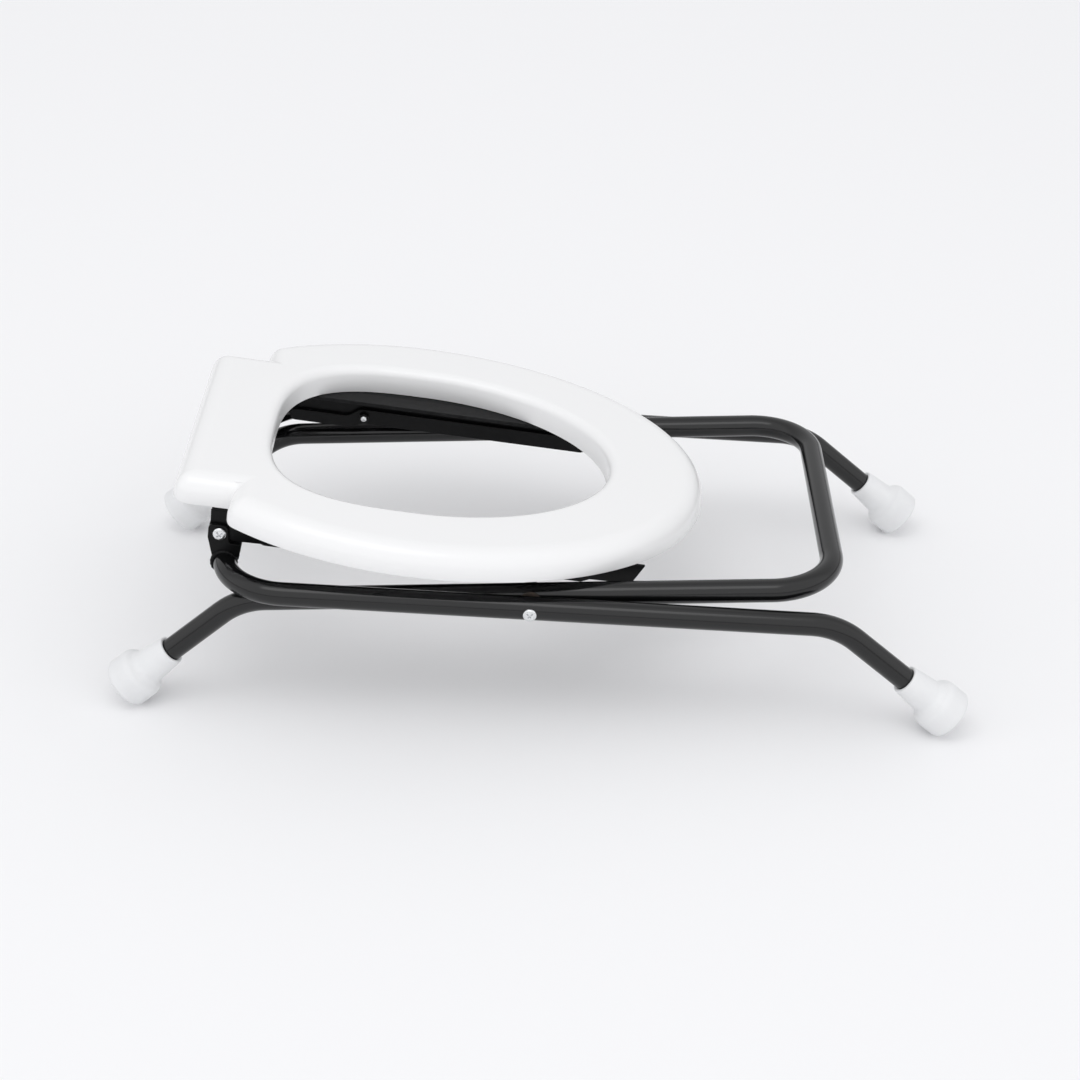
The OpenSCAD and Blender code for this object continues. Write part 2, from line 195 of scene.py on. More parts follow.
def roundedOutline(corners, steps=5):
    # corners are (x, z, radius); a radius never takes more than this share of an edge
    edgeShare = 0.48
    outline = []
    for i, (x, z, radius) in enumerate(corners):
        if radius <= 0:
            outline.append((x, z))
            continue
        here = Vector((x, z))
        before = Vector(corners[i - 1][:2]) - here
        after = Vector(corners[(i + 1) % len(corners)][:2]) - here
        half = before.angle(after) / 2
        reach = min(radius / math.tan(half), before.length * edgeShare, after.length * edgeShare)
        radius = reach * math.tan(half)
        middle = here + (before.normalized() + after.normalized()).normalized() * radius / math.sin(half)
        start = here + before.normalized() * reach - middle
        end = here + after.normalized() * reach - middle
        turn = start.angle_signed(end)
        for k in range(steps + 1):
            angle = -turn * k / steps
            outline.append((middle.x + start.x * math.cos(angle) - start.y * math.sin(angle),
                            middle.y + start.x * math.sin(angle) + start.y * math.cos(angle)))
    return outline


# Effects that several finishes share

def effectGroup(name, inputs, outputs):
    tree = bpy.data.node_groups.new(name, "ShaderNodeTree")
    for label, kind, value in inputs:
        socket = tree.interface.new_socket(name=label, in_out="INPUT", socket_type="NodeSocket" + kind)
        if value is not None:
            socket.default_value = value
    for label, kind in outputs:
        tree.interface.new_socket(name=label, in_out="OUTPUT", socket_type="NodeSocket" + kind)
    entry, leave = tree.nodes.new("NodeGroupInput"), tree.nodes.new("NodeGroupOutput")
    return tree, entry, leave


def addNode(tree, kind, values=None, **settings):
    node = tree.nodes.new("ShaderNode" + kind)
    for key, value in settings.items():
        setattr(node, key, value)
    for key, value in (values or {}).items():
        node.inputs[key].default_value = value
    return node


def addMix(tree, kind):
    # a Mix node has sockets for every kind of value, so the ones in use are found by their places
    first, result = {"FLOAT": (2, 0), "RGBA": (6, 2)}[kind]
    mix = addNode(tree, "Mix", data_type=kind)
    return mix.inputs[0], mix.inputs[first], mix.inputs[first + 1], mix.outputs[result]


def makeGrain():
    # fine height of two noises, one grain and one slow swell
    tree, entry, leave = effectGroup("surfaceGrain", [
        ("Vector", "Vector", None), ("Grain Scale", "Float", 900.0), ("Swell Scale", "Float", 60.0),
        ("Swell Share", "Float", 0.5)], [("Height", "Float")])
    fine = addNode(tree, "TexNoise", {"Detail": 3.0, "Roughness": 0.55})
    slow = addNode(tree, "TexNoise", {"Detail": 2.0, "Roughness": 0.5})
    share, fineHeight, slowHeight, height = addMix(tree, "FLOAT")
    link = tree.links.new
    link(entry.outputs["Vector"], fine.inputs["Vector"])
    link(entry.outputs["Vector"], slow.inputs["Vector"])
    link(entry.outputs["Grain Scale"], fine.inputs["Scale"])
    link(entry.outputs["Swell Scale"], slow.inputs["Scale"])
    link(entry.outputs["Swell Share"], share)
    link(fine.outputs["Fac"], fineHeight)
    link(slow.outputs["Fac"], slowHeight)
    link(height, leave.inputs["Height"])
    return tree


def makeHandling():
    # patches where hands and cloths have passed: a tone and a roughness
    tree, entry, leave = effectGroup("handlingMarks", [
        ("Vector", "Vector", None), ("Clean Color", "Color", (0.8, 0.8, 0.8, 1)),
        ("Marked Color", "Color", (0.7, 0.7, 0.7, 1)), ("Scale", "Float", 14.0), ("Amount", "Float", 0.4),
        ("Clean Roughness", "Float", 0.3), ("Marked Roughness", "Float", 0.4)],
        [("Color", "Color"), ("Roughness", "Float")])
    cloud = addNode(tree, "TexNoise", {"Detail": 5.0, "Roughness": 0.62})
    patches = addNode(tree, "MapRange", {"From Min": 0.42, "From Max": 0.68})
    limit = addNode(tree, "Math", operation="MULTIPLY")
    toneShare, cleanTone, markedTone, tone = addMix(tree, "RGBA")
    roughShare, cleanRough, markedRough, rough = addMix(tree, "FLOAT")
    link = tree.links.new
    link(entry.outputs["Vector"], cloud.inputs["Vector"])
    link(entry.outputs["Scale"], cloud.inputs["Scale"])
    link(cloud.outputs["Fac"], patches.inputs["Value"])
    link(patches.outputs["Result"], limit.inputs[0])
    link(entry.outputs["Amount"], limit.inputs[1])
    link(limit.outputs[0], toneShare)
    link(limit.outputs[0], roughShare)
    link(entry.outputs["Clean Color"], cleanTone)
    link(entry.outputs["Marked Color"], markedTone)
    link(entry.outputs["Clean Roughness"], cleanRough)
    link(entry.outputs["Marked Roughness"], markedRough)
    link(tone, leave.inputs["Color"])
    link(rough, leave.inputs["Roughness"])
    return tree


def makeEdgeRub():
    # mask of rubbed convex edges, broken up by noise
    tree, entry, leave = effectGroup("edgeRub", [
        ("Vector", "Vector", None), ("Start", "Float", 0.53), ("Full", "Float", 0.6),
        ("Break Scale", "Float", 160.0), ("Strength", "Float", 0.5)], [("Mask", "Float")])
    shape = addNode(tree, "NewGeometry")
    edge = addNode(tree, "MapRange")
    speck = addNode(tree, "TexNoise", {"Detail": 4.0, "Roughness": 0.7})
    gate = addNode(tree, "MapRange", {"From Min": 0.45, "From Max": 0.6})
    both = addNode(tree, "Math", operation="MULTIPLY")
    scaled = addNode(tree, "Math", operation="MULTIPLY")
    link = tree.links.new
    link(shape.outputs["Pointiness"], edge.inputs["Value"])
    link(entry.outputs["Start"], edge.inputs["From Min"])
    link(entry.outputs["Full"], edge.inputs["From Max"])
    link(entry.outputs["Vector"], speck.inputs["Vector"])
    link(entry.outputs["Break Scale"], speck.inputs["Scale"])
    link(speck.outputs["Fac"], gate.inputs["Value"])
    link(edge.outputs["Result"], both.inputs[0])
    link(gate.outputs["Result"], both.inputs[1])
    link(both.outputs[0], scaled.inputs[0])
    link(entry.outputs["Strength"], scaled.inputs[1])
    link(scaled.outputs[0], leave.inputs["Mask"])
    return tree


grainGroup, handlingGroup, rubGroup = makeGrain(), makeHandling(), makeEdgeRub()


def makeFinish(name, look):
    material = bpy.data.materials.new(name)
    material.use_nodes = True
    tree = material.node_tree
    link = tree.links.new
    shader = tree.nodes["Principled BSDF"]
    place = addNode(tree, "TexCoord")

    def placed(group, values):
        node = tree.nodes.new("ShaderNodeGroup")
        node.node_tree = group
        for key, value in values.items():
            node.inputs[key].default_value = value
        link(place.outputs["Object"], node.inputs["Vector"])
        return node

    marks = placed(handlingGroup, {"Clean Color": look["color"] + (1,), "Marked Color": look["marked"] + (1,),
                                   "Scale": look["markScale"], "Amount": look["markAmount"],
                                   "Clean Roughness": look["rough"], "Marked Roughness": look["roughMarked"]})
    rub = placed(rubGroup, {"Start": look["rubStart"], "Full": look["rubStart"] + rubSpan,
                            "Strength": look["rub"]})
    grain = placed(grainGroup, {"Grain Scale": look["grain"], "Swell Scale": look["swell"],
                                "Swell Share": look["swellShare"]})
    rubShare, coated, rubbed, tone = addMix(tree, "RGBA")
    link(rub.outputs["Mask"], rubShare)
    link(marks.outputs["Color"], coated)
    rubbed.default_value = look["rubColor"] + (1,)
    link(tone, shader.inputs["Base Color"])
    link(marks.outputs["Roughness"], shader.inputs["Roughness"])
    bump = addNode(tree, "Bump", {"Strength": look["bump"], "Distance": look["depth"]})
    link(grain.outputs["Height"], bump.inputs["Height"])
    link(bump.outputs["Normal"], shader.inputs["Normal"])
    shader.inputs["Metallic"].default_value = look.get("metal", 0.0)
    shader.inputs["Coat Weight"].default_value = look.get("coat", 0.0)
    shader.inputs["Coat Roughness"].default_value = look.get("coatRough", 0.1)
    shader.inputs["Specular IOR Level"].default_value = look.get("specular", 0.5)
    return material


rubSpan = 0.06  # from the first rub on an edge to a full one
finishLooks = dict(
    frame_paint=dict(
        color=(0.0030, 0.0031, 0.0033), marked=(0.0048, 0.0049, 0.0051), markScale=9.0, markAmount=0.6,
        rough=0.13, roughMarked=0.20, rubStart=0.56, rub=0.12, rubColor=(0.02, 0.02, 0.021),
        grain=520.0, swell=110.0, swellShare=0.35, bump=0.12, depth=0.0004, specular=0.50),
    bracket_paint=dict(
        color=(0.0036, 0.0037, 0.0039), marked=(0.0056, 0.0057, 0.0060), markScale=16.0, markAmount=0.6,
        rough=0.30, roughMarked=0.40, rubStart=0.54, rub=0.3, rubColor=(0.04, 0.04, 0.042),
        grain=640.0, swell=140.0, swellShare=0.3, bump=0.16, depth=0.0004, specular=0.15),
    foot_rubber=dict(
        color=(0.775, 0.78, 0.787), marked=(0.71, 0.715, 0.725), markScale=22.0, markAmount=0.55,
        rough=0.42, roughMarked=0.58, rubStart=0.55, rub=0.12, rubColor=(0.50, 0.50, 0.52),
        grain=1500.0, swell=90.0, swellShare=0.4, bump=0.14, depth=0.0004, specular=0.45),
    zinc_steel=dict(
        color=(0.80, 0.81, 0.82), marked=(0.72, 0.73, 0.74), markScale=120.0, markAmount=0.35,
        rough=0.24, roughMarked=0.36, rubStart=0.56, rub=0.15, rubColor=(0.86, 0.87, 0.88),
        grain=2200.0, swell=500.0, swellShare=0.4, bump=0.05, depth=0.0002, metal=1.0),
    white_nylon=dict(
        color=(0.80, 0.80, 0.78), marked=(0.70, 0.70, 0.68), markScale=80.0, markAmount=0.5,
        rough=0.40, roughMarked=0.52, rubStart=0.56, rub=0.1, rubColor=(0.6, 0.6, 0.6),
        grain=1800.0, swell=240.0, swellShare=0.5, bump=0.1, depth=0.0002),
    fibre=dict(
        color=(0.045, 0.035, 0.028), marked=(0.075, 0.055, 0.040), markScale=240.0, markAmount=0.9,
        rough=0.75, roughMarked=0.88, rubStart=0.55, rub=0.2, rubColor=(0.12, 0.09, 0.07),
        grain=2600.0, swell=600.0, swellShare=0.5, bump=0.5, depth=0.0003),
    seat_plastic=dict(
        color=(0.83, 0.83, 0.832), marked=(0.81, 0.81, 0.813), markScale=7.0, markAmount=0.3,
        rough=0.25, roughMarked=0.29, rubStart=0.70, rub=0.0, rubColor=(0.76, 0.76, 0.765),
        grain=1300.0, swell=55.0, swellShare=0.45, bump=0.06, depth=0.0004, coat=0.3, coatRough=0.12),
)
finishes = {name: makeFinish(name, look) for name, look in finishLooks.items()}
print("finishes made:", len(finishes))

# Frame tubes, bent along one path each
tubeLook = dict(around=56, arcStep=3.0, straightStep=30.0)


def arc(middle, startAxis, endAxis, radius, degrees):
    count = max(2, round(degrees / tubeLook["arcStep"]))
    return [middle + startAxis * radius * math.cos(math.radians(degrees * k / count))
            + endAxis * radius * math.sin(math.radians(degrees * k / count)) for k in range(count + 1)]


def framePath(shape):
    # leg, bend, side and corner of the near side, then the crossbar and the same run mirrored
    half, bend = shape["width"] / 2, layout["legBend"]
    legRadius, corner = layout["legRadius"], layout["cornerRadius"]
    straightStep = tubeLook["straightStep"]
    run = legRadius * math.tan(math.radians(bend) / 2)
    down = Vector((-math.cos(math.radians(bend)), 0, -math.sin(math.radians(bend))))
    vertex = Vector((-shape["leg"], -half, 0))
    legEnd = vertex + down * (shape["legLength"] - layout["soleGap"])
    legTop = vertex + down * run
    count = max(2, round((legEnd - legTop).length / straightStep))
    sidePath = [legEnd.lerp(legTop, k / count) for k in range(count)]
    bendMiddle = vertex + Vector((run, 0, -legRadius))
    legArc = arc(bendMiddle, Vector((0, 0, 1)), Vector((-1, 0, 0)), legRadius, bend)
    sidePath += legArc[::-1]
    start, end = vertex + Vector((run, 0, 0)), Vector((shape["bar"] - corner, -half, 0))
    count = round((end - start).length / straightStep)
    sidePath += [start.lerp(end, k / count) for k in range(1, count)]
    cornerMiddle = Vector((shape["bar"] - corner, -half + corner, 0))
    sidePath += arc(cornerMiddle, Vector((0, -1, 0)), Vector((1, 0, 0)), corner, 90)
    barEnd = Vector((shape["bar"], -half + corner, 0))
    count = max(2, round(-2 * barEnd.y / straightStep))
    middle = [barEnd.lerp(Vector((barEnd.x, -barEnd.y, 0)), k / count) for k in range(1, count)]
    return sidePath + middle + [Vector((p.x, -p.y, p.z)) for p in sidePath[::-1]]


def sweptRings(path, radius, around):
    tangents = []
    for i in range(len(path)):
        before, after = path[max(i - 1, 0)], path[min(i + 1, len(path) - 1)]
        tangents.append((after - before).normalized())
    side = tangents[0].orthogonal().normalized()
    rings = []
    for i, (point, tangent) in enumerate(zip(path, tangents)):
        if i:
            side = tangents[i - 1].rotation_difference(tangent) @ side
        side = (side - tangent * side.dot(tangent)).normalized()
        up = tangent.cross(side)
        rings.append([point + (side * math.cos(turn) + up * math.sin(turn)) * radius
                      for turn in turnSteps(around)])
    return rings


def buildTube(name, shape, matrix, node):
    path = framePath(shape)
    outside = sweptRings(path, layout["tube"] / 2, tubeLook["around"])
    inside = sweptRings(path, layout["tube"] / 2 - layout["wall"], tubeLook["around"])
    tube = Shape().rings(outside + inside[::-1], matrix, loop=True)
    return settle(tube.build(name), "frame_paint", node)


buildTube("outerTube", layout["outer"], outerFrame, "outer_frame_tube")
buildTube("innerTube", layout["inner"], innerFrame, "inner_frame_tube")
print("frame tubes bent")

# Feet: a wide round base with grooves in its sole, and a sleeve for the tube
footLook = dict(
    radius=21.5, wide=23.6, shoulder=7.6, fillet=8.0, neck=14.7, length=52.0, mouth=12.6, bore=9.56,
    boreFloor=8.5, centre=0.6, segments=72, roundSteps=10, sharpAngle=38,
    grooveStep=4.6, grooveDepth=1.1, grooveTop=0.9, grooveBottom=0.6, plainRim=4,
    # in from the radius, height
    soleEdge=((2.0, 0.0), (0.9, 0.25), (0.25, 0.9), (0, 2.0), (0, 6.0), (0, 11.0)),
    sleeve=((1.0, 40.0), (0.4, 46.0)),  # out from the mouth, height
    mouthEdge=((0, 2.4), (0.05, 1.1), (0.35, 0.35), (0.9, 0)),  # in from the mouth, down from the top
    boreEdge=((0.9, 0), (0.25, 0.4), (0, 1.2)),  # out from the bore, down from the top
)


def footProfile():
    look = footLook
    radius, shoulder, fillet, steps = look["radius"], look["shoulder"], look["fillet"], look["roundSteps"]
    profile = [(look["centre"], 0.0)]
    groove = look["grooveStep"]
    while groove < radius - look["plainRim"]:
        profile += [(groove - look["grooveTop"], 0.0), (groove - look["grooveBottom"], look["grooveDepth"]),
                    (groove + look["grooveBottom"], look["grooveDepth"]), (groove + look["grooveTop"], 0.0)]
        groove += look["grooveStep"]
    profile += [(radius - inward, height) for inward, height in look["soleEdge"]]
    # round shoulder, then a hollow fillet into the sleeve
    middle = Vector((radius - shoulder, look["wide"] - shoulder))
    reach = shoulder + fillet
    hollowX = look["neck"] + fillet
    lean = math.acos(min(1.0, (hollowX - middle.x) / reach))
    hollow = Vector((hollowX, middle.y + reach * math.sin(lean)))
    for k in range(steps + 1):
        angle = lean * k / steps
        profile.append((middle.x + shoulder * math.cos(angle), middle.y + shoulder * math.sin(angle)))
    for k in range(1, steps + 1):
        angle = math.pi + lean - lean * k / steps
        profile.append((hollow.x + fillet * math.cos(angle), hollow.y + fillet * math.sin(angle)))
    length, mouth, bore = look["length"], look["mouth"], look["bore"]
    profile += [(mouth + outward, height) for outward, height in look["sleeve"]]
    profile += [(mouth - inward, length - down) for inward, down in look["mouthEdge"]]
    profile += [(bore + outward, length - down) for outward, down in look["boreEdge"]]
    return profile + [(bore, look["boreFloor"]), (look["centre"], look["boreFloor"])]


def footMatrix(shape, side, base):
    bend, length = math.radians(layout["legBend"]), shape["legLength"]
    sole = Vector((-shape["leg"] - length * math.cos(bend), -shape["width"] / 2, -length * math.sin(bend)))
    local = Matrix.Translation(sole) @ Matrix.Rotation(math.radians(90) - bend, 4, "Y")
    return base @ (mirrorY @ local if side > 0 else local)


def buildFoot(frameName, base, sideName, side):
    foot = Shape().turned(footProfile(), footMatrix(layout[frameName], side, base), footLook["segments"])
    piece = foot.build(frameName + sideName.capitalize() + "Foot", footLook["sharpAngle"])
    return settle(piece, "foot_rubber", frameName + "_" + sideName + "_foot")


for frameName, base in (("outer", outerFrame), ("inner", innerFrame)):
    for sideName, side in sides:
        buildFoot(frameName, base, sideName, side)
    footWashers = cadNodes[frameName + "_foot_washers"].data.materials
    footWashers.clear()
    footWashers.append(finishes["zinc_steel"])
print("feet turned")

# Seat ring: one hollow shell, with ribs and screw bosses below
seatLook = dict(
    wide=151.8, low=21.9, thick=23.9, shoulder=18.0, rim=8.0, wall=3.4, front=241.5, rear=228.0, half=188.0,
    step=6.0, tailEnd=-41.0, tailHalf=120.0, tailJoin=48.0, corner=14.0,
    holeFront=160.0, holeRear=124.0, holeHalf=122.0, holeFrontPower=2.0, holeRearPower=3.0,
    foot=1.2, footBevel=0.3, lipIn=0.4, lipUp=0.5, sharpAngle=34,
    raySpans=((0, 131, 1.5), (131.5, 155, 0.5), (156, 180, 1.5)),  # from, to, step; finest round the notch
    rayMerge=0.2, searchFrom=130.0, searchTo=330.0, halvings=26,
    topShares=(0.06, 0.3, 0.5, 0.7, 0.94), underShares=(0.3, 0.7),
    shoulderSteps=12, rimSteps=8, innerShoulderSteps=7, innerRimSteps=4,
)
ribLook = dict(count=9, first=20, step=40, thick=2.4, inset=2.0, shoulderInset=12.0, lift=1.5,
               outerUp=4, shoulderDown=4.5, crownIn=12, crownDown=2, innerOut=8, innerDown=1)
bossLook = dict(screwsAt=(10, 42, 262, 322), side=105.0, radius=7.0, bore=2.1, mouth=2.6, edge=0.4, roof=2.4,
                segments=32)


def ringInset():
    # outline of the ring, drawn in by the corner radius
    look, points = seatLook, []
    for degree in range(-180, 181):
        angle = math.radians(degree)
        length = look["rear"] if math.cos(angle) < 0 else look["front"]
        x, y = length * math.cos(angle), look["half"] * math.sin(angle)
        normal = Vector((math.cos(angle) / length, math.sin(angle) / look["half"])).normalized()
        points.append((look["wide"] + x - normal.x * look["corner"], y - normal.y * look["corner"]))
    cut = look["step"] + look["corner"]
    kept = [p for p in points if p[0] > cut]

    def crossing(inner):
        outer = min((p for p in points if p[0] <= cut and p[1] * inner[1] > 0),
                    key=lambda p: abs(p[0] - inner[0]))
        share = (cut - outer[0]) / (inner[0] - outer[0])
        return (cut, outer[1] + (inner[1] - outer[1]) * share)
    return np.array([crossing(kept[0])] + kept + [crossing(kept[-1])])


insetRing = ringInset()


def insideBy(points):
    # how far points lie inside the ring or the tail, whichever is deeper
    look = seatLook
    corner = look["corner"]
    along = np.roll(insetRing, -1, axis=0) - insetRing
    length = np.maximum(np.linalg.norm(along, axis=1), 1e-9)
    offset = points[:, None, :] - insetRing[None]
    share = np.clip((offset * along[None]).sum(-1) / length ** 2, 0, 1)
    near = np.linalg.norm(offset - share[..., None] * along[None], axis=-1).min(axis=1)
    side = (along[None, :, 0] * offset[..., 1] - along[None, :, 1] * offset[..., 0]) / length
    inside = side.min(axis=1) > 0
    ring = corner + np.where(inside, near, -near)
    low, high, wide = look["tailEnd"] + corner, look["tailJoin"] - corner, look["tailHalf"] - corner
    x = np.maximum(low - points[:, 0], points[:, 0] - high)
    y = np.abs(points[:, 1]) - wide
    outside = np.hypot(np.maximum(x, 0), np.maximum(y, 0)) + np.minimum(np.maximum(x, y), 0)
    return np.maximum(ring, corner - outside)


def rayAngles():
    # one ray runs exactly through the notch where the tail leaves the ring
    look = seatLook
    notch = math.degrees(math.atan2(look["tailHalf"], look["step"] - look["wide"]))
    half = [angle for span in look["raySpans"] for angle in np.arange(*span)]
    half = sorted([angle for angle in half if abs(angle - notch) > look["rayMerge"]] + [notch])
    return np.radians(np.array(half + [180.0] + [-angle for angle in half[:0:-1]]))


rays = rayAngles()
rayWays = np.stack([np.cos(rays), np.sin(rays)], axis=1)


def outerReach(depth):
    # distance from the middle along each ray at which the point lies this deep inside
    low, high = np.full(len(rays), seatLook["searchFrom"]), np.full(len(rays), seatLook["searchTo"])
    for halving in range(seatLook["halvings"]):
        middle = (low + high) / 2
        points = np.array([seatLook["wide"], 0.0]) + rayWays * middle[:, None]
        deep = insideBy(points) > depth
        low, high = np.where(deep, middle, low), np.where(deep, high, middle)
    return (low + high) / 2


def holeReach(grow):
    # the opening is an ellipse in front and squarer behind
    look = seatLook
    ahead, aside = np.cos(rays), np.sin(rays)
    power = np.where(ahead < 0, look["holeRearPower"], look["holeFrontPower"])
    length = np.where(ahead < 0, look["holeRear"] + grow, look["holeFront"] + grow)
    half = look["holeHalf"] + grow
    return (np.abs(ahead / length) ** power + np.abs(aside / half) ** power) ** (-1 / power)


def quarterRound(kind, inset, radius, centreHeight, steps, rising):
    # a quarter circle of the section, from its side up to its top or back down
    points = []
    for k in range(steps + 1):
        angle = math.radians(90 * k / steps) if rising else math.radians(90 - 90 * k / steps)
        points.append((kind, inset + radius * (1 - math.cos(angle)), centreHeight + radius * math.sin(angle)))
    return points


def seatSection():
    # each point is (kind, amount, height): "out" amounts are depths from the outside, "hole" ones are
    # depths from the opening, and "flat" ones are shares of the way between the two
    look = seatLook
    base, top, foot, wall = look["low"], look["low"] + look["thick"], look["foot"], look["wall"]
    bevel, shoulderAt, rimAt = foot * look["footBevel"], top - look["shoulder"], top - look["rim"]
    lipIn, lipUp = wall - look["lipIn"], base + look["lipUp"]
    section = [("out", foot, base), ("out", bevel, base + bevel), ("out", 0.0, base + foot)]
    section += quarterRound("out", 0.0, look["shoulder"], shoulderAt, look["shoulderSteps"], True)
    section += [("flat", share, top) for share in look["topShares"]]
    section += quarterRound("hole", 0.0, look["rim"], rimAt, look["rimSteps"], False)
    section += [("hole", 0.0, base + foot), ("hole", bevel, base + bevel), ("hole", foot, base)]
    section += [("hole", lipIn, base), ("hole", wall, lipUp)]
    section += quarterRound("hole", wall, look["rim"] - wall, rimAt, look["innerRimSteps"], True)
    section += [("flat", share, top - wall) for share in look["underShares"]]
    section += quarterRound("out", wall, look["shoulder"] - wall, shoulderAt,
                            look["innerShoulderSteps"], False)
    return section + [("out", wall, lipUp), ("out", lipIn, base)]


reachCache = {}


def reach(kind, amount):
    key = (kind, round(amount, 6))
    if key not in reachCache:
        if kind == "out":
            reachCache[key] = outerReach(amount)
        elif kind == "hole":
            reachCache[key] = holeReach(amount)
        else:
            reachCache[key] = (reach("out", seatLook["shoulder"]) * (1 - amount)
                               + reach("hole", seatLook["rim"]) * amount)
    return reachCache[key]


def addRib(shape, degrees):
    look, angle = ribLook, math.radians(degrees)
    low, top = seatLook["low"] + look["lift"], seatLook["low"] + seatLook["thick"]
    nearest = int(np.argmin(np.abs(np.angle(np.exp(1j * (rays - angle))))))
    inner = float(reach("hole", look["inset"])[nearest])
    outer = float(reach("out", look["inset"])[nearest])
    shoulder = float(reach("out", look["shoulderInset"])[nearest])
    crown = top - look["crownDown"]
    outline = [(inner, low), (outer, low), (outer, top - seatLook["shoulder"] + look["outerUp"]),
               (shoulder, top - look["shoulderDown"]), (shoulder - look["crownIn"], crown),
               (inner + look["innerOut"], crown), (inner, top - seatLook["rim"] - look["innerDown"])]
    turn = seatFrame @ Matrix.Translation((seatLook["wide"], 0, 0)) @ Matrix.Rotation(angle, 4, "Z")
    shape.plate(outline, -look["thick"] / 2, look["thick"] / 2, turn)


def addBoss(shape, x, side):
    look, low = bossLook, seatLook["low"]
    radius, bore, roof = look["radius"], look["bore"], low + seatLook["thick"] - look["roof"]
    profile = [(radius, low + look["edge"]), (radius, roof), (bore, roof), (bore, low + look["edge"]),
               (look["mouth"], low), (radius - look["edge"], low)]
    shape.turned(profile, seatFrame @ Matrix.Translation((x, side * look["side"], 0)), look["segments"])


def buildSeat():
    shape, rings = Shape(), []
    for kind, amount, height in seatSection():
        rings.append([(seatLook["wide"] + distance * way[0], distance * way[1], height)
                      for distance, way in zip(reach(kind, amount), rayWays)])
    shape.rings(rings, seatFrame, loop=True)
    for k in range(ribLook["count"]):
        addRib(shape, ribLook["first"] + ribLook["step"] * k)
    for x in bossLook["screwsAt"]:
        for side in (-1, 1):
            addBoss(shape, x, side)
    return settle(shape.build("seatRing", seatLook["sharpAngle"]), "seat_plastic", "seat_ring")


buildSeat()
print("seat ring moulded:", len(rays), "rays")

# Rails, lugs and lock arms, cut from plate; corners are (x, z, radius) in the seat's own frame
plateEdge = 0.45
railLook = dict(
    rear=8.3, low=-8.3, arcStep=9, noseFoot=(307.1, 6), nose=(335.1, 2.0, 5), frontTip=343.2,
    flangeLow=18.9, flangeHigh=21.9, flangeEdge=98.0, flangeEnd=335.1, bendRadius=3.0, bendStep=15,
    lipFrom=12.0, lipTo=325.1, lipEdge=126.0, lipSlant=2, lipFrontRound=5, lipRearRound=6, lipLap=2.9,
)
lugLook = dict(
    cheek=((-9.5, 7, 3.5), (-9.5, -5, 2), (-5.2, -20.9, 1), (16.9, -20.9, 1), (17.9, -8.6, 1.5),
           (8, -8.6, 2.5), (6, 7, 4)),
    stop=((-5.2, -11.6, 0.6), (17.9, -11.6, 0.6), (17.9, -8.6, 0.6), (-5.2, -8.6, 0.6)),
    stopSteps=3, stopIn=0.1,
)
armLook = dict(
    outer=113.9, thick=3.0, bolt=(97, 1), barTop=(272, 8, 8),
    bossTop=(-4, 7.0, 10), bossLow=(0, -7.0, 16),  # from the bolt
    leverEnd=31.0, leverTall=11.0, leverLow=-11.0, leverRootTop=(-14, 12), leverRootLow=(-12, 16),
    hook=((294.1, -6, 5), (302.1, -2, 2.5), (302.3, 7.4, 4), (324.7, 7.4, 4), (324.7, -4.5, 1.5),
          (332.7, -4.5, 2.5), (335.7, 1, 2), (337.7, 18.3, 3), (286, 18.3, 8)),
)


def railShape(side):
    look, shape = railLook, Shape()
    outer, inner = layout["railOuter"], layout["railOuter"] - layout["plate"]
    rearRound = [(look["rear"] * math.cos(math.radians(a)), look["rear"] * math.sin(math.radians(a)))
                 for a in range(180, 271, look["arcStep"])]
    footX, footRound = look["noseFoot"]
    nose = roundedOutline([(footX, look["low"], footRound), look["nose"],
                           (look["frontTip"], look["flangeLow"], 0)])
    web = rearRound + nose + [(-look["rear"], look["flangeLow"])]
    shape.plate(web, side * inner, side * outer, seatFrame)
    # top flange, folded with a bend
    bend = [(outer - look["bendRadius"] * (1 - math.cos(math.radians(a))),
             look["flangeLow"] + look["bendRadius"] * math.sin(math.radians(a)))
            for a in range(0, 91, look["bendStep"])]
    profile = bend + [(look["flangeEdge"], look["flangeHigh"]), (look["flangeEdge"], look["flangeLow"]),
                      (inner, look["flangeLow"])]
    ends = [[(x, side * y, z) for y, z in profile] for x in (-look["rear"], look["flangeEnd"])]
    shape.rings(ends, seatFrame, closeEnds=True)
    # outer lip, whose inner side runs a little way into the bend
    lap, lipWide = look["lipLap"], look["lipEdge"] - outer
    lip = roundedOutline([(look["lipFrom"], 0, 0), (look["lipTo"], 0, 0),
                          (look["lipTo"] - look["lipSlant"], lipWide, look["lipFrontRound"]),
                          (look["lipFrom"], lipWide, look["lipRearRound"])])
    lip = [(x, y + lap if y > 0 else y) for x, y in lip]
    flat = seatFrame @ Matrix(((1, 0, 0, 0), (0, 0, side, side * (outer - lap)), (0, 1, 0, 0), (0, 0, 0, 1)))
    return shape.plate(lip, look["flangeLow"], look["flangeHigh"], flat)


def lugShape(side):
    shape, outer, inner = Shape(), layout["lugOuter"], layout["lugInner"]
    thick, stopIn = layout["plate"], lugLook["stopIn"]
    cheek = roundedOutline(lugLook["cheek"])
    for y in (outer, inner + thick):
        shape.plate(cheek, side * (y - thick), side * y, seatFrame)
    stop = roundedOutline(lugLook["stop"], lugLook["stopSteps"])
    shape.plate(stop, side * (inner + stopIn), side * (outer - stopIn), seatFrame)
    return shape


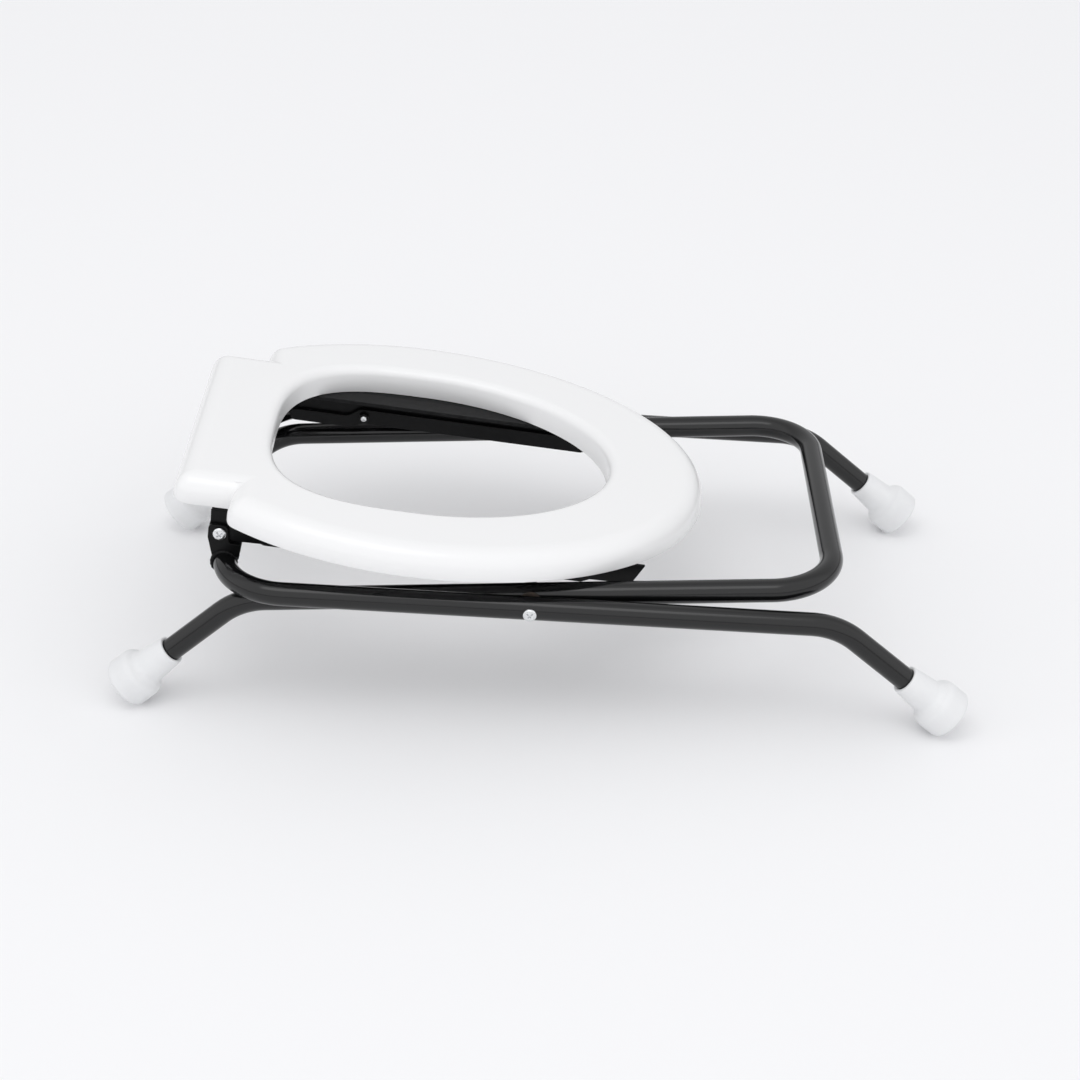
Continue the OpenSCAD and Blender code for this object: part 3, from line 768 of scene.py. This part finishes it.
def armShape(side):
    # lever tail and boss behind, then the bar and the hook at its front end
    look = armLook
    x, z = look["bolt"]
    leverEnd, leverLow, leverTop = look["leverEnd"], look["leverLow"], look["leverLow"] + look["leverTall"]
    leverRound = look["leverTall"] / 2 - 0.01  # a hair under a full half circle
    topX, topZ, topRound = look["bossTop"]
    lowX, lowZ, lowRound = look["bossLow"]
    rootTopX, rootTopRound = look["leverRootTop"]
    rootLowX, rootLowRound = look["leverRootLow"]
    corners = [look["barTop"], (x + topX, z + topZ, topRound), (x + rootTopX, leverTop, rootTopRound),
               (leverEnd, leverTop, leverRound), (leverEnd, leverLow, leverRound),
               (x + rootLowX, leverLow, rootLowRound), (x + lowX, z + lowZ, lowRound)]
    outline = roundedOutline(corners + list(look["hook"]))
    return Shape().plate(outline, side * (look["outer"] - look["thick"]), side * look["outer"], seatFrame)


plateParts = ((railShape, "Rail", "_seat_rail"), (lugShape, "HingeLug", "_hinge_lug"),
              (armShape, "LockArm", "_lock_arm"))
for sideName, side in sides:
    for makeShape, pieceName, nodeName in plateParts:
        piece = makeShape(side).build(sideName + pieceName)
        settle(softEdges(piece, plateEdge), "bracket_paint", sideName + nodeName)

# Weld beads between the lugs and the crossbar
weldLook = dict(size=1.7, lift=0.2, start=-65, stop=205, steps=64, around=12, taperRate=6.0, taperEnd=0.25,
                ripple=0.10, ripplePace=1.55, seedStep=2.1, sharpAngle=60)


def weldBead(side, y, seed):
    # a rippled bead round the crossbar, at the face of a cheek
    look = weldLook
    bar = outerFrame @ Matrix.Translation((layout["outer"]["bar"], 0, 0))
    rings, count, radius = [], look["steps"], layout["tube"] / 2 + look["lift"]
    for k in range(count + 1):
        angle = math.radians(look["start"] + (look["stop"] - look["start"]) * k / count)
        taper = min(1.0, look["taperRate"] * min(k, count - k) / count + look["taperEnd"])
        size = look["size"] * taper * (1 + look["ripple"] * math.sin(k * look["ripplePace"] + seed))
        middle = Vector((radius * math.cos(angle), side * y, radius * math.sin(angle)))
        way = Vector((math.cos(angle), 0, math.sin(angle)))
        rings.append([middle + (way * math.cos(turn) + Vector((0, side, 0)) * math.sin(turn)) * size
                      for turn in turnSteps(look["around"])])
    return Shape().rings(rings, bar, closeEnds=True)


for sideName, side in sides:
    beads = Shape()
    for number, y in enumerate((layout["lugOuter"], layout["lugInner"])):
        bead = weldBead(side, y, number * weldLook["seedStep"])
        beads.add(bead.points, bead.faces)
    welds = beads.build(sideName + "LugWelds", weldLook["sharpAngle"])
    welds.data.materials.append(finishes["bracket_paint"])
    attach(welds, "outer_frame")
print("rails, lugs, arms and welds made")

# Fasteners: each pair is set out along local Z, outward from the middle plane
headLook = dict(
    centre=0.4, tipRise=0.6, tipChamfer=0.7, edge=0.4, segments=40,
    side=0.42, dome=0.58, domePower=0.75, domeDegrees=range(0, 86, 8),  # side and dome share the head's height
)
recessLook = dict(
    width=1.3, depth=1.7, taper=0.62, mouth=0.2, above=1,
    length=6.2, forHead=11,  # the length suits this head and follows the size of others
)
ringLook = dict(edge=0.25, segments=48, sharpAngle=50)
nutLook = dict(steps=72, crown=0.97, drop=0.55, lip=0.5, sharpAngle=28)


def crossOutline(halfWidth, halfLength, start=0):
    # the arms of a cross recess, turned by the start angle
    outline = []
    for quarter in range(4):
        turn = math.radians(start + 90 * quarter)
        cosine, sine = math.cos(turn), math.sin(turn)
        corners = (halfLength, -halfWidth), (halfLength, halfWidth), (halfWidth, halfWidth)
        outline += [(x * cosine - y * sine, x * sine + y * cosine) for x, y in corners]
    return outline


def addRecess(cutter, outline, taper, levels, place):
    # a cross that narrows below its mouth and stands clear of the head above it
    low, mouth, clear = levels
    cutter.rings([[(x * taper, y * taper, low) for x, y in outline], [(x, y, mouth) for x, y in outline],
                  [(x, y, clear) for x, y in outline]], place, closeEnds=True)


def panHead(face, end, shank, size, height):
    # half outline of a bolt: tip, shank, underside and rim of the head, then its dome
    look, radius = headLook, size / 2
    dome = [(radius * math.cos(math.radians(a)) ** look["domePower"],
             face + height * look["side"] + height * look["dome"] * math.sin(math.radians(a)))
            for a in look["domeDegrees"]]
    profile = [(look["centre"], end + look["tipRise"]), (shank - look["tipChamfer"], end),
               (shank, end + look["tipChamfer"]), (shank, face), (radius - look["edge"], face),
               (radius, face + look["edge"])]
    return profile + dome + [(look["centre"], face + height)]


def boltsAt(name, node, place, face, end, shank, size, height):
    shape, cutter, look = Shape(), Shape(), recessLook
    halfLength = look["length"] / 2 * size / look["forHead"]
    outline = crossOutline(look["width"] / 2, halfLength, 45)
    crown = face + height
    levels = crown - look["depth"], crown - look["mouth"], crown + look["above"]
    for side in (-1, 1):
        out = across(*place, side)
        shape.turned(panHead(face, end, shank / 2, size, height), out, headLook["segments"],
                     loop=False, closeEnds=True)
        addRecess(cutter, outline, look["taper"], levels, out)
    return settle(carve(shape.build(name), cutter.build(name + "Cutter")), "zinc_steel", node)


def ringsAt(name, node, finish, place, outer, inner, size, bore, edge=ringLook["edge"]):
    # washers, bushes and spacers, with softened edges
    shape, radius, hole = Shape(), size / 2, bore / 2
    profile = [(hole, inner + edge), (hole + edge, inner), (radius - edge, inner), (radius, inner + edge),
               (radius, outer - edge), (radius - edge, outer), (hole + edge, outer), (hole, outer - edge)]
    for side in (-1, 1):
        shape.turned(profile, across(*place, side), ringLook["segments"])
    return settle(shape.build(name, ringLook["sharpAngle"]), finish, node)


def nutsAt(name, node, finish, place, outer, inner, size, bore):
    # a hexagon with round crowns: the corners fall away from both faces
    shape, look, hole = Shape(), nutLook, bore / 2
    flat = size / 2 * math.cos(math.radians(30))
    crown, lip = flat * look["crown"], look["lip"]
    rings = []
    for height, inward in ((inner, 1), (outer, -1)):
        face = [[], [], [], []]
        for turn in turnSteps(look["steps"]):
            hexRadius = flat / math.cos((turn + math.pi / 6) % (math.pi / 3) - math.pi / 6)
            drop = (hexRadius - crown) * look["drop"]
            levels = (hole, lip), (hole + lip, 0), (crown, 0), (hexRadius, drop)
            for ring, (radius, fall) in zip(face, levels):
                ring.append((radius * math.cos(turn), radius * math.sin(turn), height + inward * fall))
        rings += face if inward > 0 else face[::-1]
    for side in (-1, 1):
        shape.rings(rings, across(*place, side), loop=True)
    return settle(shape.build(name, look["sharpAngle"]), finish, node)


pivotPlace = (Matrix.Translation(pivotPoint), 0, 0)
hingePlace = (seatFrame, 0, 0)
armPlace = (seatFrame, *armLook["bolt"])
boltsAt("pivotBolts", "pivot_bolts", pivotPlace, face=174.775, end=127.4, shank=6, size=11, height=3.2)
ringsAt("pivotSpacers", "pivot_spacers", "fibre", pivotPlace, outer=155.7, inner=154.0, size=17, bore=6.1)
ringsAt("pivotBushes", "pivot_bushes", "white_nylon", pivotPlace, outer=153.7, inner=134.7, size=9, bore=6.1)
ringsAt("pivotWashers", "pivot_washers", "bracket_paint", pivotPlace, outer=134.4, inner=133.4, size=13,
        bore=6.1, edge=0.15)
nutsAt("pivotNuts", "pivot_nuts", "bracket_paint", pivotPlace, outer=133.4, inner=128.4, size=11.2, bore=6.1)
boltsAt("hingeBolts", "hinge_bolts", hingePlace, face=121.6, end=105.4, shank=6, size=11, height=3.2)
ringsAt("hingeBushes", "hinge_bushes", "white_nylon", hingePlace, outer=118.3, inner=114.7, size=9, bore=6.1)
nutsAt("hingeNuts", "hinge_nuts", "zinc_steel", hingePlace, outer=111.4, inner=106.4, size=11.2, bore=6.1)
boltsAt("armBolts", "lock_arm_bolts", armPlace, face=118.0, end=105.6, shank=5, size=9, height=2.6)
ringsAt("armWashers", "lock_arm_washers", "fibre", armPlace, outer=115.0, inner=114.2, size=13, bore=5.1,
        edge=0.12)
nutsAt("armNuts", "lock_arm_nuts", "bracket_paint", armPlace, outer=110.6, inner=106.6, size=9.2, bore=5.1)

# Screws from below, through the rails' flanges into the bosses. Their local Z runs down from the hinge
# line, so the minus heights lie above it
screwLook = dict(
    point=((0.4, -34.8), (1.2, -34.2), (1.9, -31.5)), threadFrom=-31, turns=8, pitch=1.45,
    thread=((1.55, 0), (2.0, 0.5), (2.0, 0.7), (1.55, 1.2)),  # one turn: radius, rise
    head=((2.0, -18.9), (4.0, -18.9), (4.0, -18.3), (3.7, -17.3), (3.0, -16.7), (1.8, -16.5), (0.4, -16.5)),
    segments=24, recessWidth=0.5, recessLength=2.2, recessTaper=0.6, recessLevels=(-17.8, -16.6, -15.5),
)


def seatScrews():
    shape, cutter, look = Shape(), Shape(), screwLook
    profile = list(look["point"])
    for k in range(look["turns"]):
        start = look["threadFrom"] + k * look["pitch"]
        profile += [(radius, start + rise) for radius, rise in look["thread"]]
    profile += look["head"]
    outline = crossOutline(look["recessWidth"], look["recessLength"])
    down = Matrix.Rotation(math.pi, 4, "X")
    for x in bossLook["screwsAt"]:
        for side in (-1, 1):
            place = seatFrame @ Matrix.Translation((x, side * bossLook["side"], 0)) @ down
            shape.turned(profile, place, look["segments"], loop=False, closeEnds=True)
            addRecess(cutter, outline, look["recessTaper"], look["recessLevels"], place)
    piece = carve(shape.build("seatScrews"), cutter.build("seatScrewsCutter"))
    return settle(piece, "zinc_steel", "seat_screws")


seatScrews()
print("fasteners made")

# Floor, light and camera
studio = dict(
    floor=(0.872, 0.872, 0.880), floorHalf=9, floorDrop=0.0004, floorRough=0.95, floorGloss=0.1,
    sky=(0.985, 0.988, 1.0), frontWall=1.16, backWall=0.80, wallSpan=(-0.1, 0.35), horizon=0.42,
    horizonSpan=(0.02, 0.16),
    lampAt=(-0.3, -1.0, 2.4), lampTarget=(0, 0, 0.1), lampSize=(1.8, 1.0), lampPower=7.0,
)
view = dict(location=(0.01174, -1.6774, 1.0493), yaw=-0.38, pitch=30.10, roll=0.98, lens=74.69, sensor=36.0)


def studioFloor():
    half = studio["floorHalf"]
    mesh = bpy.data.meshes.new("floor")
    corners = [(-half, -half, 0), (half, -half, 0), (half, half, 0), (-half, half, 0)]
    mesh.from_pydata(corners, [], [(0, 1, 2, 3)])
    floor = bpy.data.objects.new("floor", mesh)
    bpy.context.scene.collection.objects.link(floor)
    floor.location.z = cadBox[0][2] - studio["floorDrop"]
    material = bpy.data.materials.new("floorPaper")
    material.use_nodes = True
    shader = material.node_tree.nodes["Principled BSDF"]
    shader.inputs["Base Color"].default_value = studio["floor"] + (1,)
    shader.inputs["Roughness"].default_value = studio["floorRough"]
    shader.inputs["Specular IOR Level"].default_value = studio["floorGloss"]
    mesh.materials.append(material)


def studioSky():
    # a bright front and a duller back, both darker towards the horizon
    world = bpy.data.worlds.new("studioWorld")
    bpy.context.scene.world = world
    world.use_nodes = True
    tree = world.node_tree
    place, split = addNode(tree, "TexCoord"), addNode(tree, "SeparateXYZ")
    wallFrom, wallTo = studio["wallSpan"]
    lineFrom, lineTo = studio["horizonSpan"]
    wallRange = {"From Min": wallFrom, "From Max": wallTo, "To Min": studio["frontWall"],
                 "To Max": studio["backWall"]}
    lineRange = {"From Min": lineFrom, "From Max": lineTo, "To Min": studio["horizon"]}
    walls = addNode(tree, "MapRange", wallRange, interpolation_type="SMOOTHSTEP")
    line = addNode(tree, "MapRange", lineRange, interpolation_type="SMOOTHSTEP")
    level = addNode(tree, "Math", operation="MULTIPLY")
    background = tree.nodes["Background"]
    tree.links.new(place.outputs["Generated"], split.inputs[0])
    tree.links.new(split.outputs["Y"], walls.inputs["Value"])
    tree.links.new(split.outputs["Z"], line.inputs["Value"])
    tree.links.new(walls.outputs["Result"], level.inputs[0])
    tree.links.new(line.outputs["Result"], level.inputs[1])
    tree.links.new(level.outputs[0], background.inputs["Strength"])
    background.inputs["Color"].default_value = studio["sky"] + (1,)


def studioLamp():
    data = bpy.data.lights.new("keyLight", "AREA")
    data.shape, data.energy = "RECTANGLE", studio["lampPower"]
    data.size, data.size_y = studio["lampSize"]
    light = bpy.data.objects.new("keyLight", data)
    bpy.context.scene.collection.objects.link(light)
    light.location = studio["lampAt"]
    aim = Vector(studio["lampTarget"]) - Vector(studio["lampAt"])
    light.rotation_euler = aim.to_track_quat("-Z", "Y").to_euler()


def placeCamera():
    yaw, pitch, roll = (math.radians(view[key]) for key in ("yaw", "pitch", "roll"))
    forward = Vector((math.sin(yaw) * math.cos(pitch), math.cos(yaw) * math.cos(pitch), -math.sin(pitch)))
    level = Vector((math.cos(yaw), -math.sin(yaw), 0))
    upright = level.cross(forward)
    right = level * math.cos(roll) + upright * math.sin(roll)
    up = upright * math.cos(roll) - level * math.sin(roll)
    lens = bpy.data.cameras.new("camera")
    lens.lens, lens.sensor_width = view["lens"], view["sensor"]
    camera = bpy.data.objects.new("camera", lens)
    bpy.context.scene.collection.objects.link(camera)
    turn = Matrix((right, up, -forward)).transposed().to_4x4()
    camera.matrix_world = Matrix.Translation(view["location"]) @ turn
    bpy.context.scene.camera = camera


studioFloor()
studioSky()
studioLamp()
placeCamera()
bpy.context.scene.view_settings.view_transform = "Standard"
print("studio ready")

bpy.context.view_layer.update()
